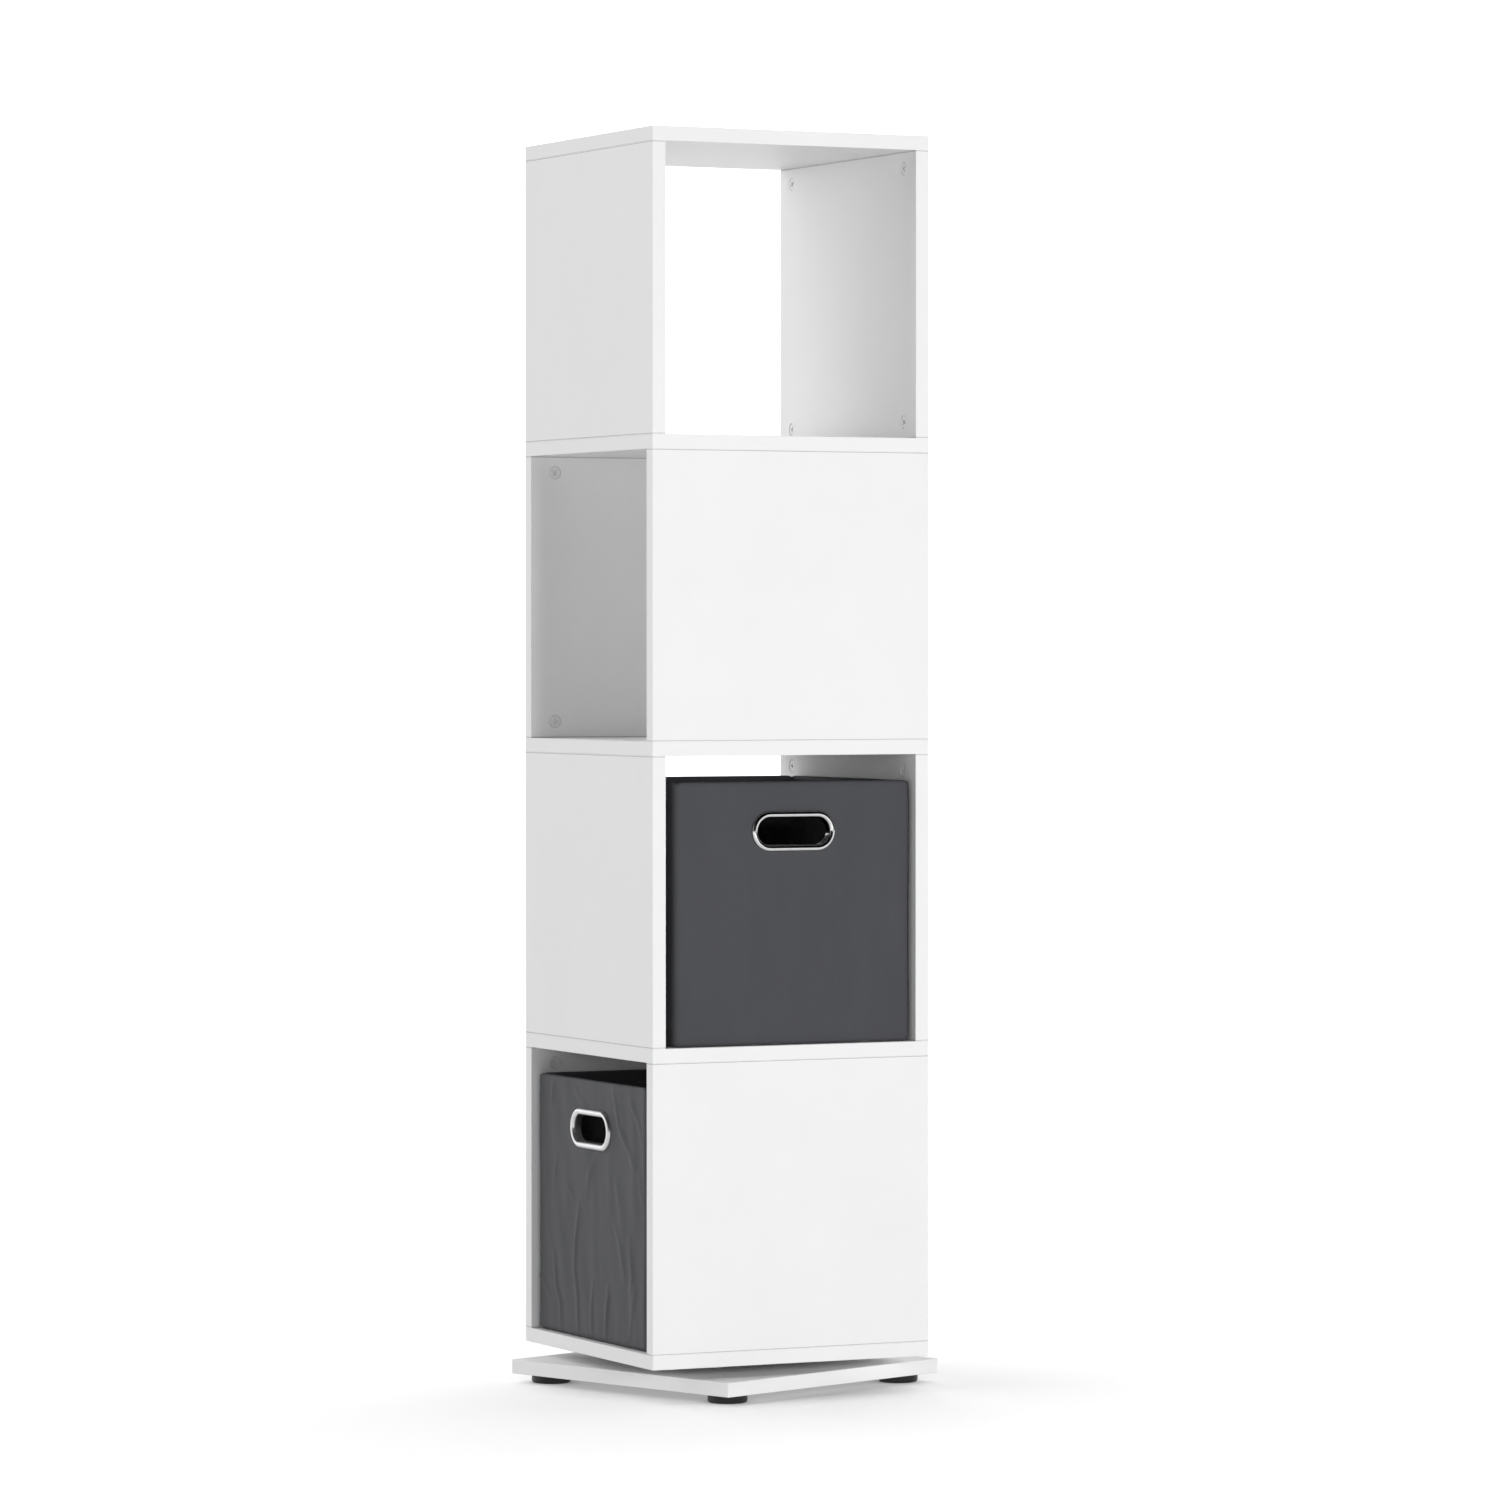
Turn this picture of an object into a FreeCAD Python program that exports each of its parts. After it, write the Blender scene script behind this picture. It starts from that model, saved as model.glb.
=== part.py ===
"""Rotating tower of square boards on a ball-bearing turntable, with two fabric boxes. Millimetres, +Z up.

The origin is on the turning axis, at the floor. At rest the tower is square to X and Y, its front faces -Y,
and the base plate below it is turned by BASE_TURN.
"""
import FreeCAD, Part
import math
import os

# Tower boards and panels
TOWER_WIDTH = 340.0
BOARD_THICKNESS = 16.0
PANEL_THICKNESS = 16.0
COMPARTMENT_HEIGHT = 320.0
EDGE_EASE = 0.5

# Base plate and feet
BASE_WIDTH = 340.0
BASE_THICKNESS = 16.0
BASE_TURN = 20.0
FOOT_DIAMETER = 44.0
FOOT_HEIGHT = 10.0
FOOT_ROUNDING = 3.0
FOOT_INSET = 31.5
FOOT_SCREW_SEAT = 5.0

# Cam locks in the panels and their bolts in the boards
CAM_DIAMETER = 15.0
CAM_BACK_WALL = 3.5
CAM_FACE_SETBACK = 0.3
CAM_FACE_THICKNESS = 3.0
CAM_FACE_CHAMFER = 0.8
CAM_EDGE_DISTANCE = 18.5
CAM_SIDE_INSET = 30.0
CAM_JAW_WIDTH = 8.0
BOLT_DIAMETER = 6.0
BOLT_NECK_DIAMETER = 4.5
BOLT_HEAD_LENGTH = 3.0

# Turntable of two pressed plates with a ring of caged balls between them
RACE_RADIUS = 50.0
RACE_RISE = 1.3
RACE_SHOULDER = 3.0
RACE_SLOPE = 3.0
PLATE_SHEET = 1.5
PLATE_MARGIN = 16.25
PLATE_CORNER = 12.0
PLATE_SCREW_INSET = 13.0
BALL_DIAMETER = 6.0
BALL_COUNT = 12
CAGE_WIDTH = 11.0
CAGE_THICKNESS = 1.6
COLLAR_GAP = 5.5
COLLAR_LIP = 4.5
COLLAR_OVERLAP = 2.5

# Wood screws of the feet and of the turntable plates
SCREW_DIAMETER = 4.0
SCREW_HEAD_DIAMETER = 8.0
SCREW_HEAD_HEIGHT = 2.4
ACCESS_HOLE_DIAMETER = 14.0
WOOD_PAST_END = 5.0

# Fabric boxes, sized to their compartments, and how far each stands to its own right of the middle
BOX_SIDE_GAP = 9.0
BOX_HEADROOM = 29.0
BOX_SETBACK = 8.0
BOX_BACK_GAP = 42.0
BOX_CORNER = 7.0
UPPER_BOX_SHIFT = 5.5
LOWER_BOX_SHIFT = -7.5
BOX_COVER = 1.2
BOX_STIFFENER = 2.5
BOX_LINING = 1.0
BOX_BASE_BOARD = 3.0

# Oval ring of a box's hand hole
RING_HOLE_LENGTH = 88.0
RING_HOLE_HEIGHT = 30.0
RING_FLANGE = 7.5
RING_PROUD = 4.0
RING_NECK_WALL = 1.8
RING_DROP = 55.0
RING_BACK_THICKNESS = 2.5

# Clearances
FASTENER_CLEARANCE = 0.1
SCREW_HEAD_CLEARANCE = 1.0
BALL_CLEARANCE = 0.2
CAGE_CLEARANCE = 0.8
COLLAR_CLEARANCE = 0.4
RING_CLEARANCE = 0.3
CARD_CLEARANCE = 0.3

# Turntable sizes that follow, with heights from the lower plate's underside
TURNTABLE_HEIGHT = BALL_DIAMETER + 2 * (BALL_CLEARANCE + PLATE_SHEET + RACE_RISE)
BALL_LEVEL = TURNTABLE_HEIGHT / 2
GROOVE_RADIUS = BALL_DIAMETER / 2 + BALL_CLEARANCE
LIP_BELOW_BALL = CAGE_THICKNESS / 2 + CAGE_CLEARANCE
LIP_LEVEL = BALL_LEVEL - LIP_BELOW_BALL
GROOVE_HALF = math.sqrt(GROOVE_RADIUS ** 2 - LIP_BELOW_BALL ** 2)
SHOULDER_HALF = GROOVE_HALF + RACE_SHOULDER
RACE_HALF = SHOULDER_HALF + RACE_SLOPE
COLLAR_WALL = RACE_RADIUS - RACE_HALF - COLLAR_GAP
COLLAR_LIP_RADIUS = COLLAR_WALL + COLLAR_LIP
PLATE_WIDTH = 2 * (RACE_RADIUS + RACE_HALF + PLATE_MARGIN)
PLATE_SCREW_SPAN = PLATE_WIDTH - 2 * PLATE_SCREW_INSET

# Levels and box sizes that follow
TURNTABLE_FLOOR = FOOT_HEIGHT + BASE_THICKNESS
TOWER_FLOOR = TURNTABLE_FLOOR + TURNTABLE_HEIGHT
ROW_PITCH = COMPARTMENT_HEIGHT + BOARD_THICKNESS
PANEL_MIDDLE = -TOWER_WIDTH / 2 + PANEL_THICKNESS / 2
CAM_BORE_FLOOR = -TOWER_WIDTH / 2 + CAM_BACK_WALL
CAM_BORE_DEPTH = PANEL_THICKNESS - CAM_BACK_WALL
BOX_WIDTH = TOWER_WIDTH - 2 * (PANEL_THICKNESS + BOX_SIDE_GAP)
BOX_DEPTH = TOWER_WIDTH - BOX_SETBACK - BOX_BACK_GAP
BOX_HEIGHT = COMPARTMENT_HEIGHT - BOX_HEADROOM
BOX_WALL = BOX_COVER + BOX_STIFFENER + BOX_LINING
RING_HALF_RUN = (RING_HOLE_LENGTH - RING_HOLE_HEIGHT) / 2

# Sides of the tower, as turns of the front about the axis
FRONT, RIGHT, BACK, LEFT = 0.0, 90.0, 180.0, 270.0
SIDE_NAMES = {FRONT: "front", RIGHT: "right", BACK: "back", LEFT: "left"}

# Boards and rows of panels from the bottom up, and the boxes with their row, side and shift
BOARD_NAMES = ("bottom_board", "lower_shelf", "middle_shelf", "upper_shelf", "top_board")
ROWS = (
    ("bottom", (FRONT, BACK)),
    ("lower", (LEFT, RIGHT)),
    ("upper", (FRONT, BACK)),
    ("top", (LEFT, RIGHT)),
)
BOXES = (("lower_box", 0, LEFT, LOWER_BOX_SHIFT), ("upper_box", 1, FRONT, UPPER_BOX_SHIFT))

# Corners of the base plate, counted from +X +Y, by where they point at rest
FOOT_NAMES = ("foot_back", "foot_left", "foot_front", "foot_right")

# Edges of a panel, as height and the way into the panel
LOWER_EDGE = (0.0, 1)
UPPER_EDGE = (COMPARTMENT_HEIGHT, -1)

ORIGIN = FreeCAD.Vector(0, 0, 0)
ALONG_X = FreeCAD.Vector(1, 0, 0)
ALONG_Y = FreeCAD.Vector(0, 1, 0)
UP = FreeCAD.Vector(0, 0, 1)
DOWN = FreeCAD.Vector(0, 0, -1)
SAME_PLACE = 1e-6


def vec(x, y, z):
    return FreeCAD.Vector(x, y, z)


def moved(shape, offset):
    copy = shape.copy()
    copy.translate(offset)
    return copy


def raised(shape, height):
    return moved(shape, UP * height)


def turned(shape, angle):
    copy = shape.copy()
    copy.rotate(ORIGIN, UP, angle)
    return copy


def block(width, depth, height):
    """Block centred on the axis and standing on Z = 0."""
    return Part.makeBox(width, depth, height, vec(-width / 2, -depth / 2, 0))


def rounded_block(width, depth, height, radius):
    solid = block(width, depth, height)
    upright = [e for e in solid.Edges if e.BoundBox.ZLength > SAME_PLACE]
    return solid.makeFillet(radius, upright)


def eased(solid):
    return solid.makeChamfer(EDGE_EASE, solid.Edges)


def rod(diameter, length, start, way=UP):
    return Part.makeCylinder(diameter / 2, length, start, way)


def path(points):
    """Straight edges through points given as radius and height."""
    return Part.makePolygon([vec(r, 0, z) for r, z in points]).Edges


def arc(start, through, end):
    """Edge of an arc through three points given as radius and height."""
    return Part.Arc(*(vec(r, 0, z) for r, z in (start, through, end))).toShape()


def revolved(edges):
    return Part.Face(Part.Wire(edges)).revolve(ORIGIN, UP, 360)


def square_corners(width):
    """The four corners of a square, counted from +X +Y."""
    half = width / 2
    return [(half, half), (-half, half), (-half, -half), (half, -half)]


def wood_screw(seat, way, through, wood):
    """Screw whose head bears on seat, through a piece and into wood of that thickness."""
    head = rod(SCREW_HEAD_DIAMETER, SCREW_HEAD_HEIGHT, seat, -way)
    return head.fuse(rod(SCREW_DIAMETER, through + wood - WOOD_PAST_END, seat, way))


def screw_bore(start, way, length):
    return rod(SCREW_DIAMETER + 2 * FASTENER_CLEARANCE, length, start, way)


def pilot_bore(start, way, wood):
    return screw_bore(start, way, wood - WOOD_PAST_END + FASTENER_CLEARANCE)


# Turntable, modelled on Z = 0


def race(inner_end):
    """Ring of pressed sheet with a ball groove in its top.

    inner_end closes its section on the inside, from the groove's inner shoulder to the underside there.
    """
    outer_top = [
        (RACE_RADIUS + RACE_HALF, PLATE_SHEET),
        (RACE_RADIUS + SHOULDER_HALF, LIP_LEVEL),
        (RACE_RADIUS + GROOVE_HALF, LIP_LEVEL),
    ]
    groove = arc(
        (RACE_RADIUS + GROOVE_HALF, LIP_LEVEL),
        (RACE_RADIUS, BALL_LEVEL - GROOVE_RADIUS),
        (RACE_RADIUS - GROOVE_HALF, LIP_LEVEL),
    )
    inner_shoulder = [
        (RACE_RADIUS - GROOVE_HALF, LIP_LEVEL),
        (RACE_RADIUS - SHOULDER_HALF, LIP_LEVEL),
    ]
    underside = [
        (RACE_RADIUS - SHOULDER_HALF, LIP_LEVEL - PLATE_SHEET),
        (RACE_RADIUS - GROOVE_HALF, RACE_RISE),
        (RACE_RADIUS + GROOVE_HALF, RACE_RISE),
        (RACE_RADIUS + SHOULDER_HALF, LIP_LEVEL - PLATE_SHEET),
        (RACE_RADIUS + RACE_HALF, 0),
    ]
    closing = path(inner_shoulder + inner_end + underside + outer_top[:1])
    return revolved(path(outer_top) + [groove] + closing)


def flange():
    """Square mounting flange around a race, with its screw holes."""
    sheet = rounded_block(PLATE_WIDTH, PLATE_WIDTH, PLATE_SHEET, PLATE_CORNER)
    cuts = [rod(2 * (RACE_RADIUS + RACE_HALF), PLATE_SHEET, ORIGIN)]
    cuts += [screw_bore(vec(x, y, 0), UP, PLATE_SHEET) for x, y in square_corners(PLATE_SCREW_SPAN)]
    return sheet.cut(cuts)


def lower_plate():
    """Plate with the lower race and a collar whose rolled lip keeps the upper plate from lifting off."""
    lip_under = TURNTABLE_HEIGHT - LIP_LEVEL + PLATE_SHEET + COLLAR_CLEARANCE
    lip_top = lip_under + PLATE_SHEET
    collar = [
        (RACE_RADIUS - RACE_HALF, PLATE_SHEET),
        (COLLAR_WALL, PLATE_SHEET),
        (COLLAR_WALL, lip_under),
        (COLLAR_LIP_RADIUS, lip_under),
        (COLLAR_LIP_RADIUS, lip_top),
        (COLLAR_WALL - PLATE_SHEET, lip_top),
        (COLLAR_WALL - PLATE_SHEET, 0),
        (RACE_RADIUS - RACE_HALF, 0),
    ]
    return race(collar).fuse(flange()).removeSplitter()


def upper_plate():
    """Plate with the upper race, turned over, whose inner rim reaches under the collar's lip."""
    reach = COLLAR_LIP_RADIUS - COLLAR_OVERLAP
    rim = [(reach, LIP_LEVEL), (reach, LIP_LEVEL - PLATE_SHEET)]
    plate = race(rim).fuse(flange()).removeSplitter()
    plate.rotate(ORIGIN, ALONG_X, 180)
    return raised(plate, TURNTABLE_HEIGHT)


def ball_places():
    """Places around the axis, level with it."""
    first = ALONG_X * RACE_RADIUS
    return [FreeCAD.Rotation(UP, i * 360 / BALL_COUNT).multVec(first) for i in range(BALL_COUNT)]


def balls():
    return [Part.makeSphere(BALL_DIAMETER / 2, place + UP * BALL_LEVEL) for place in ball_places()]


def ball_cage():
    floor = UP * (BALL_LEVEL - CAGE_THICKNESS / 2)
    ring = rod(2 * RACE_RADIUS + CAGE_WIDTH, CAGE_THICKNESS, floor)
    cuts = [rod(2 * RACE_RADIUS - CAGE_WIDTH, CAGE_THICKNESS, floor)]
    pocket = BALL_DIAMETER + 2 * BALL_CLEARANCE
    cuts += [rod(pocket, CAGE_THICKNESS, floor + place) for place in ball_places()]
    return ring.cut(cuts)


# Base, modelled square to X and Y and turned at the end


def foot_places():
    return [vec(x, y, 0) for x, y in square_corners(BASE_WIDTH - 2 * FOOT_INSET)]


def plate_screw_places(level):
    return [vec(x, y, level) for x, y in square_corners(PLATE_SCREW_SPAN)]


def foot():
    """Round glide with a rounded lower rim and a recess for its screw's head."""
    outer = FOOT_DIAMETER / 2
    recess = SCREW_HEAD_DIAMETER / 2 + SCREW_HEAD_CLEARANCE
    hole = SCREW_DIAMETER / 2 + FASTENER_CLEARANCE
    corner = FOOT_ROUNDING * (1 - math.sqrt(0.5))
    underside = path([(recess, 0), (outer - FOOT_ROUNDING, 0)])
    rim = arc((outer - FOOT_ROUNDING, 0), (outer - corner, corner), (outer, FOOT_ROUNDING))
    rest = path([
        (outer, FOOT_ROUNDING),
        (outer, FOOT_HEIGHT),
        (hole, FOOT_HEIGHT),
        (hole, FOOT_SCREW_SEAT),
        (recess, FOOT_SCREW_SEAT),
        (recess, 0),
    ])
    return revolved(underside + [rim] + rest)


def foot_screws():
    through = FOOT_HEIGHT - FOOT_SCREW_SEAT
    seats = [place + UP * FOOT_SCREW_SEAT for place in foot_places()]
    return [wood_screw(seat, UP, through, BASE_THICKNESS) for seat in seats]


def lower_plate_screws():
    seats = plate_screw_places(TURNTABLE_FLOOR + PLATE_SHEET)
    return [wood_screw(seat, DOWN, PLATE_SHEET, BASE_THICKNESS) for seat in seats]


def upper_plate_screws():
    seats = plate_screw_places(TOWER_FLOOR - PLATE_SHEET)
    return [wood_screw(seat, UP, PLATE_SHEET, BOARD_THICKNESS) for seat in seats]


def base_plate():
    """Base board with its pilot bores and a hole through which the upper plate's screws are driven."""
    plate = raised(eased(block(BASE_WIDTH, BASE_WIDTH, BASE_THICKNESS)), FOOT_HEIGHT)
    cuts = [pilot_bore(place + UP * FOOT_HEIGHT, UP, BASE_THICKNESS) for place in foot_places()]
    cuts += [pilot_bore(place, DOWN, BASE_THICKNESS) for place in plate_screw_places(TURNTABLE_FLOOR)]
    access = vec(PLATE_SCREW_SPAN / math.sqrt(2), 0, FOOT_HEIGHT)
    cuts.append(rod(ACCESS_HOLE_DIAMETER, BASE_THICKNESS, access))
    return plate.cut(cuts)


# Panels and their cam locks, modelled as a front panel standing on Z = 0


def at_cams(make, edges=(LOWER_EDGE, UPPER_EDGE)):
    """What a function makes at each cam lock, from its x, the panel's edge and the way into the panel."""
    side = TOWER_WIDTH / 2 - CAM_SIDE_INSET
    return [make(x, height, inward) for x in (-side, side) for height, inward in edges]


def cam(x, edge, inward):
    """Cam lock with its face to the compartment and a jaw, open to the panel's edge, for the bolt's head."""
    centre = edge + inward * CAM_EDGE_DISTANCE
    height = CAM_BORE_DEPTH - CAM_FACE_SETBACK
    body = rod(CAM_DIAMETER - 2 * FASTENER_CLEARANCE, height, vec(x, CAM_BORE_FLOOR, centre), ALONG_Y)
    face_rim = [e for e in body.Edges if e.BoundBox.YMin > CAM_BORE_FLOOR + SAME_PLACE]
    body = body.makeChamfer(CAM_FACE_CHAMFER, face_rim)
    jaw = Part.makeBox(
        CAM_JAW_WIDTH, height - CAM_FACE_THICKNESS, CAM_DIAMETER,
        vec(x - CAM_JAW_WIDTH / 2, CAM_BORE_FLOOR, centre - CAM_DIAMETER / 2 - inward * CAM_JAW_WIDTH / 2))
    return body.cut(jaw)


def cam_bore(x, edge, inward):
    start = vec(x, CAM_BORE_FLOOR, edge + inward * CAM_EDGE_DISTANCE)
    return rod(CAM_DIAMETER, CAM_BORE_DEPTH, start, ALONG_Y)


def bolt_reach():
    """How far a cam bolt's head reaches into the panel."""
    return CAM_EDGE_DISTANCE + BOLT_HEAD_LENGTH / 2


def bolt(x, edge, inward):
    """Cam bolt: a shank in the board, a narrower neck through the panel's edge and a head in the cam."""
    start = vec(x, PANEL_MIDDLE, edge)
    way = UP * inward
    neck_length = bolt_reach() - BOLT_HEAD_LENGTH
    shank = rod(BOLT_DIAMETER, BOARD_THICKNESS - WOOD_PAST_END, start, -way)
    neck = rod(BOLT_NECK_DIAMETER, neck_length, start, way)
    head = rod(BOLT_DIAMETER, BOLT_HEAD_LENGTH, start + way * neck_length, way)
    return shank.fuse([neck, head])


def bolt_bore_in_panel(x, edge, inward):
    diameter = BOLT_DIAMETER + 2 * FASTENER_CLEARANCE
    return rod(diameter, bolt_reach() + FASTENER_CLEARANCE, vec(x, PANEL_MIDDLE, edge), UP * inward)


def bolt_bore_in_board(x, edge, inward):
    diameter = BOLT_DIAMETER + 2 * FASTENER_CLEARANCE
    depth = BOARD_THICKNESS - WOOD_PAST_END + FASTENER_CLEARANCE
    return rod(diameter, depth, vec(x, PANEL_MIDDLE, edge), DOWN * inward)


def panel():
    corner = vec(-TOWER_WIDTH / 2, -TOWER_WIDTH / 2, 0)
    board_shape = Part.makeBox(TOWER_WIDTH, PANEL_THICKNESS, COMPARTMENT_HEIGHT, corner)
    return eased(board_shape).cut(at_cams(cam_bore) + at_cams(bolt_bore_in_panel))


def in_row(shape, row, side):
    """A shape of the front panel, moved to its row and its side of the tower."""
    return raised(turned(shape, side), TOWER_FLOOR + BOARD_THICKNESS + row * ROW_PITCH)


def at_row_panels(shapes, row):
    return [in_row(shape, row, side) for side in ROWS[row][1] for shape in shapes]


def at_all_panels(shapes):
    return [placed for row in range(len(ROWS)) for placed in at_row_panels(shapes, row)]


def board(level):
    """Square board, with the bolt bores of the panels below and above it and the turntable's pilot bores."""
    floor = TOWER_FLOOR + level * ROW_PITCH
    cuts = []
    if level > 0:
        cuts += at_row_panels(at_cams(bolt_bore_in_board, [UPPER_EDGE]), level - 1)
    if level < len(ROWS):
        cuts += at_row_panels(at_cams(bolt_bore_in_board, [LOWER_EDGE]), level)
    if level == 0:
        cuts += [pilot_bore(place, UP, BOARD_THICKNESS) for place in plate_screw_places(floor)]
    return raised(eased(block(TOWER_WIDTH, TOWER_WIDTH, BOARD_THICKNESS)), floor).cut(cuts)


# Fabric box, modelled with its front to -Y and standing on Z = 0


def box_layer(inset, floor, top):
    """Block set in from the box's walls, with corners that follow the outer ones."""
    radius = max(BOX_CORNER - inset, BOX_COVER)
    layer = rounded_block(BOX_WIDTH - 2 * inset, BOX_DEPTH - 2 * inset, top - floor, radius)
    return raised(layer, floor)


def oval(grown, start, depth):
    """Upright block with round ends, wider than the hand hole by grown all round, from start towards +Y."""
    radius = RING_HOLE_HEIGHT / 2 + grown
    run = RING_HALF_RUN
    top_left, top_right = vec(-run, start, radius), vec(run, start, radius)
    low_left, low_right = vec(-run, start, -radius), vec(run, start, -radius)
    rim = Part.Wire([
        Part.makeLine(top_left, top_right),
        Part.Arc(top_right, vec(run + radius, start, 0), low_right).toShape(),
        Part.makeLine(low_right, low_left),
        Part.Arc(low_left, vec(-run - radius, start, 0), top_left).toShape(),
    ])
    return raised(Part.Face(rim).extrude(ALONG_Y * depth), BOX_HEIGHT - RING_DROP)


def hand_hole():
    """Cutter through the front wall for the ring's neck."""
    return oval(RING_NECK_WALL + RING_CLEARANCE, -BOX_DEPTH / 2, BOX_WALL)


def box_cover():
    """Outer fabric, folded in over the top of the walls."""
    outer = box_layer(0, 0, BOX_HEIGHT)
    pocket = box_layer(BOX_COVER, BOX_COVER, BOX_HEIGHT - BOX_COVER)
    mouth = box_layer(BOX_WALL, BOX_HEIGHT - BOX_COVER, BOX_HEIGHT)
    return outer.cut([pocket, mouth, hand_hole()])


def box_lining():
    floor = BOX_COVER + BOX_BASE_BOARD
    top = BOX_HEIGHT - BOX_COVER
    outer = box_layer(BOX_COVER + BOX_STIFFENER, floor, top)
    return outer.cut([box_layer(BOX_WALL, floor + BOX_LINING, top), hand_hole()])


def box_base_board():
    inset = BOX_COVER + BOX_STIFFENER + CARD_CLEARANCE
    return box_layer(inset, BOX_COVER, BOX_COVER + BOX_BASE_BOARD)


def wall_stiffener(wall_width, wall_distance):
    """Card board of the wall at that distance towards -Y, between the rounded corners."""
    start = vec(-wall_width / 2 + BOX_CORNER, -wall_distance + BOX_COVER, BOX_COVER)
    return Part.makeBox(wall_width - 2 * BOX_CORNER, BOX_STIFFENER, BOX_HEIGHT - 2 * BOX_COVER, start)


def hand_ring():
    """Ring with a half-round flange on the front and a neck through the wall and the back ring.

    Its section stands above the centre of the oval's right end, and is drawn out along the upper run and
    round that end. A half turn about the ring's middle gives the lower run and the left end.
    """
    face = -BOX_DEPTH / 2
    neck_end = face + BOX_WALL + RING_BACK_THICKNESS
    hole = RING_HOLE_HEIGHT / 2
    outside = vec(RING_HALF_RUN, face, hole + RING_FLANGE)
    crown = vec(RING_HALF_RUN, face - RING_PROUD, hole + RING_FLANGE / 2)
    inside = vec(RING_HALF_RUN, face, hole)
    neck = Part.makePolygon([
        inside,
        vec(RING_HALF_RUN, neck_end, hole),
        vec(RING_HALF_RUN, neck_end, hole + RING_NECK_WALL),
        vec(RING_HALF_RUN, face, hole + RING_NECK_WALL),
        outside,
    ])
    section = Part.Face(Part.Wire([Part.Arc(outside, crown, inside).toShape()] + neck.Edges))
    upper_run = section.extrude(ALONG_X * -2 * RING_HALF_RUN)
    right_end = section.revolve(ALONG_X * RING_HALF_RUN, ALONG_Y, 180)
    lower_run, left_end = upper_run.copy(), right_end.copy()
    for shape in (lower_run, left_end):
        shape.rotate(ORIGIN, ALONG_Y, 180)
    ring = upper_run.fuse([right_end, lower_run, left_end]).removeSplitter()
    return raised(ring, BOX_HEIGHT - RING_DROP)


def back_ring():
    """Flat ring inside the box, around the hand ring's neck."""
    face = -BOX_DEPTH / 2 + BOX_WALL
    ring = oval(RING_FLANGE, face, RING_BACK_THICKNESS)
    return ring.cut(oval(RING_NECK_WALL + FASTENER_CLEARANCE, face, RING_BACK_THICKNESS))


def box_pieces():
    across = wall_stiffener(BOX_WIDTH, BOX_DEPTH / 2)
    along = wall_stiffener(BOX_DEPTH, BOX_WIDTH / 2)
    return {
        "cover": box_cover(),
        "lining": box_lining(),
        "base_board": box_base_board(),
        "front_stiffener": across.cut(hand_hole()),
        "right_stiffener": turned(along, RIGHT),
        "back_stiffener": turned(across, BACK),
        "left_stiffener": turned(along, LEFT),
        "hand_ring": hand_ring(),
        "back_ring": back_ring(),
    }


def in_compartment(shape, row, side, shift):
    """A shape of the box, moved to its place behind the front of a compartment."""
    centre = -TOWER_WIDTH / 2 + BOX_SETBACK + BOX_DEPTH / 2
    return in_row(moved(shape, vec(shift, centre, 0)), row, side)


# All nodes


def base_nodes():
    nodes = {
        "base_plate": base_plate(),
        "foot_screws": Part.makeCompound(foot_screws()),
        "turntable_lower_plate": raised(lower_plate(), TURNTABLE_FLOOR),
        "lower_plate_screws": Part.makeCompound(lower_plate_screws()),
    }
    for name, place in zip(FOOT_NAMES, foot_places()):
        nodes[name] = moved(foot(), place)
    return {name: turned(shape, BASE_TURN) for name, shape in nodes.items()}


def turntable_nodes():
    return {
        "turntable_balls": raised(Part.makeCompound(balls()), TURNTABLE_FLOOR),
        "turntable_ball_cage": raised(ball_cage(), TURNTABLE_FLOOR),
        "turntable_upper_plate": raised(upper_plate(), TURNTABLE_FLOOR),
        "upper_plate_screws": Part.makeCompound(upper_plate_screws()),
    }


def tower_nodes():
    nodes = {name: board(level) for level, name in enumerate(BOARD_NAMES)}
    for row, (row_name, sides) in enumerate(ROWS):
        for side in sides:
            nodes[row_name + "_" + SIDE_NAMES[side] + "_panel"] = in_row(panel(), row, side)
    nodes["cam_locks"] = Part.makeCompound(at_all_panels(at_cams(cam)))
    nodes["cam_bolts"] = Part.makeCompound(at_all_panels(at_cams(bolt)))
    return nodes


def box_nodes():
    nodes = {}
    for box_name, row, side, shift in BOXES:
        for piece_name, shape in box_pieces().items():
            nodes[box_name + "_" + piece_name] = in_compartment(shape, row, side, shift)
    return nodes


def main():
    os.makedirs("parts", exist_ok=True)
    for nodes in (base_nodes(), turntable_nodes(), tower_nodes(), box_nodes()):
        for name, shape in nodes.items():
            shape.exportStep(os.path.join("parts", name + ".step"))


main()
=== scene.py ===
import math

import bmesh
import bpy
from mathutils import Matrix, Vector, noise


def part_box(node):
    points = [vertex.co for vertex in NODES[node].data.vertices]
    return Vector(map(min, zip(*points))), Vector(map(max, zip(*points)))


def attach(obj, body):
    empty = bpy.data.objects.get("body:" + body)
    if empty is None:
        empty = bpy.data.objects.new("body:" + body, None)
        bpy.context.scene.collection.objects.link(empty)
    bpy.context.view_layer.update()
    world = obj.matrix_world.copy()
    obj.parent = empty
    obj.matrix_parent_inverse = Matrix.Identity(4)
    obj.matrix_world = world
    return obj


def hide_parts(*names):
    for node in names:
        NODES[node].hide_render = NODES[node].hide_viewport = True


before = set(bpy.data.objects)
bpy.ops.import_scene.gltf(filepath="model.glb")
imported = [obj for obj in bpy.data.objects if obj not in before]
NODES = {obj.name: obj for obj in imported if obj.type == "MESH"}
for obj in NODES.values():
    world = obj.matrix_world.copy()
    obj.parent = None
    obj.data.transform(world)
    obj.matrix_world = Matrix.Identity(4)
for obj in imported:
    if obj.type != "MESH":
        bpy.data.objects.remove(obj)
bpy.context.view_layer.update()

# Camera, at the photograph's viewing angle
LENS_MM = 154.29
CAMERA_PLACE = (-3.1618, -6.5186, 0.8317)
CAMERA_HEADING_DEG = 26.1
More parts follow.
